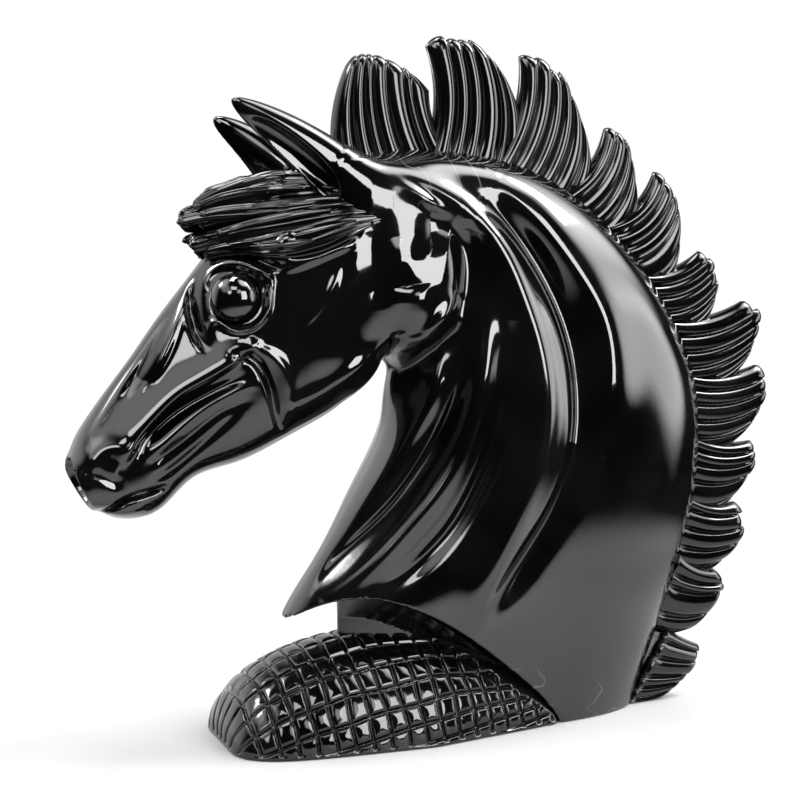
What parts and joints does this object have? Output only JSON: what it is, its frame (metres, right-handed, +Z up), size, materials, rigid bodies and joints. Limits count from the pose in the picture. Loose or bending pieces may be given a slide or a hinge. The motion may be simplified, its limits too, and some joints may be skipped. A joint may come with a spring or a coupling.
{
  "type": "horse head figurine",
  "caption": "Free-standing carved stone horse head bust with fluted neck, upright carved mane and cross-hatched base mound.",
  "frame": {"origin": "on the ground, below the middle of the figure's bounding box", "axes": "+X from the muzzle to the mane, so the horse faces -X; +Y towards the horse's right side; +Z up"},
  "size_m": [0.2402, 0.058, 0.2218],
  "materials": {
    "black_stone": "mirror polished black stone with faint grey cloud and sparse white hairline veins",
    "eye_stone": "high polish, uniform black",
    "carved_hair_stone": "polished ridges with duller, cut grooves between them",
    "hatched_stone": "polished facets between dull sawn grooves"
  },
  "bodies": {
    "root": {"neck": "black_stone", "head": "black_stone", "left_ear": "black_stone", "right_ear": "black_stone", "left_eye": "eye_stone", "right_eye": "eye_stone", "forelock": "carved_hair_stone", "mane_lock_01": "carved_hair_stone", "mane_lock_02": "carved_hair_stone", "mane_lock_03": "carved_hair_stone", "mane_lock_04": "carved_hair_stone", "mane_lock_05": "carved_hair_stone", "mane_lock_06": "carved_hair_stone", "mane_lock_07": "carved_hair_stone", "mane_lock_08": "carved_hair_stone", "mane_lock_09": "carved_hair_stone", "mane_lock_10": "carved_hair_stone", "mane_lock_11": "carved_hair_stone", "mane_lock_12": "carved_hair_stone", "base_mound": "hatched_stone"}
  },
  "joints": []
}
